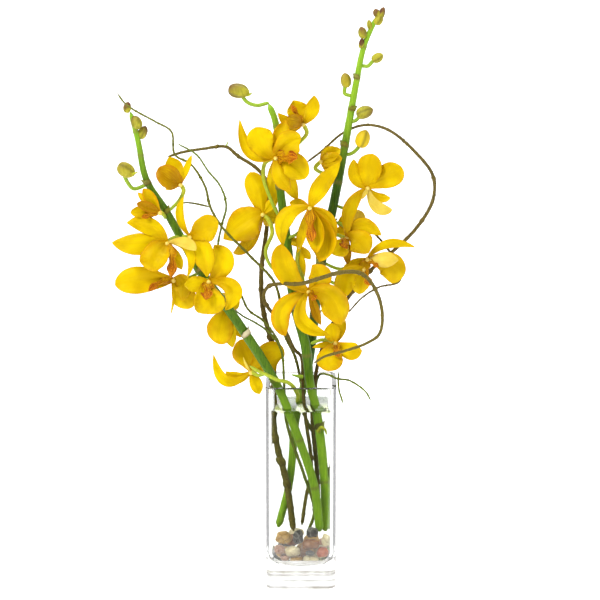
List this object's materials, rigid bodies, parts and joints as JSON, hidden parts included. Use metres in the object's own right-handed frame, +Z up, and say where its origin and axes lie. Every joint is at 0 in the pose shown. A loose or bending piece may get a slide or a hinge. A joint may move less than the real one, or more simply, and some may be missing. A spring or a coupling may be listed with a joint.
{
  "type": "orchid arrangement",
  "caption": "Sprays of yellow orchids and curly twigs standing in a tall square glass vase with a clear fill over pebbles.",
  "frame": {"origin": "centre of the vase's flat base", "axes": "+Z up the vase, -Y towards the front the flowers face, +X to the right of a viewer in front"},
  "size_m": [0.3352, 0.1303, 0.613],
  "materials": {
    "vase_glass": "clear, thick, polished",
    "clear_fill": "clear, glossy on top",
    "green_stem": "fresh green, faint long fibres, satin",
    "yellow_petal": "golden yellow with orange edges and a red-brown lip, waxy satin",
    "closed_bud": "yellow-green with a brown blush, satin",
    "brown_twig": "olive brown bark",
    "green_twig": "young green bark",
    "pebble_tan": "polished river stone",
    "pebble_dark": "polished river stone",
    "pebble_ochre": "polished river stone",
    "pebble_pink": "polished river stone",
    "pebble_cream": "polished river stone",
    "pebble_red": "polished river stone"
  },
  "bodies": {
    "root": {"glass_vase": "vase_glass", "stem_left": "green_stem", "stem_middle": "green_stem", "stem_right": "green_stem", "twig_trunk": "brown_twig", "twig_right": "brown_twig", "twig_front": "brown_twig", "twig_far": "green_twig", "twig_inner": "green_twig", "twig_tendril": "green_twig", "clear_fill": "clear_fill", "pebble_01": "pebble_tan", "pebble_02": "pebble_dark", "pebble_03": "pebble_ochre", "pebble_04": "pebble_pink", "pebble_05": "pebble_cream", "pebble_06": "pebble_pink", "pebble_07": "pebble_tan", "pebble_08": "pebble_cream", "pebble_09": "pebble_red", "pebble_10": "pebble_cream", "pebble_11": "pebble_dark", "pebble_12": "pebble_dark", "pebble_13": "pebble_tan", "pebble_14": "pebble_ochre", "pebble_15": "pebble_cream", "pebble_16": "pebble_ochre", "pebble_17": "pebble_tan", "pebble_18": "pebble_dark", "pebble_19": "pebble_tan", "pebble_20": "pebble_pink", "pebble_21": "pebble_cream", "bud_left_low": "closed_bud", "bud_middle_tip": "closed_bud", "bud_right_lowest": "closed_bud", "bud_right_lower": "closed_bud", "bud_right_upper": "closed_bud", "bud_right_top": "closed_bud", "bud_left_opening": "yellow_petal", "bloom_left_top": "yellow_petal", "bloom_left_front": "yellow_petal", "bloom_left_upper": "yellow_petal", "bloom_left_centre": "yellow_petal", "bloom_left_low": "yellow_petal", "bloom_left_shade": "yellow_petal", "bloom_left_rim": "yellow_petal", "bloom_middle_top": "yellow_petal", "bloom_middle_front": "yellow_petal", "bloom_middle_back": "yellow_petal", "bloom_middle_cup": "yellow_petal", "bloom_middle_hidden": "yellow_petal", "bloom_middle_low": "yellow_petal", "bloom_middle_rim": "yellow_petal", "bud_right_opening": "yellow_petal", "bloom_right_top": "yellow_petal", "bloom_right_shade": "yellow_petal", "bloom_right_centre": "yellow_petal", "bloom_right_low": "yellow_petal", "bloom_right_below": "yellow_petal"}
  },
  "joints": []
}
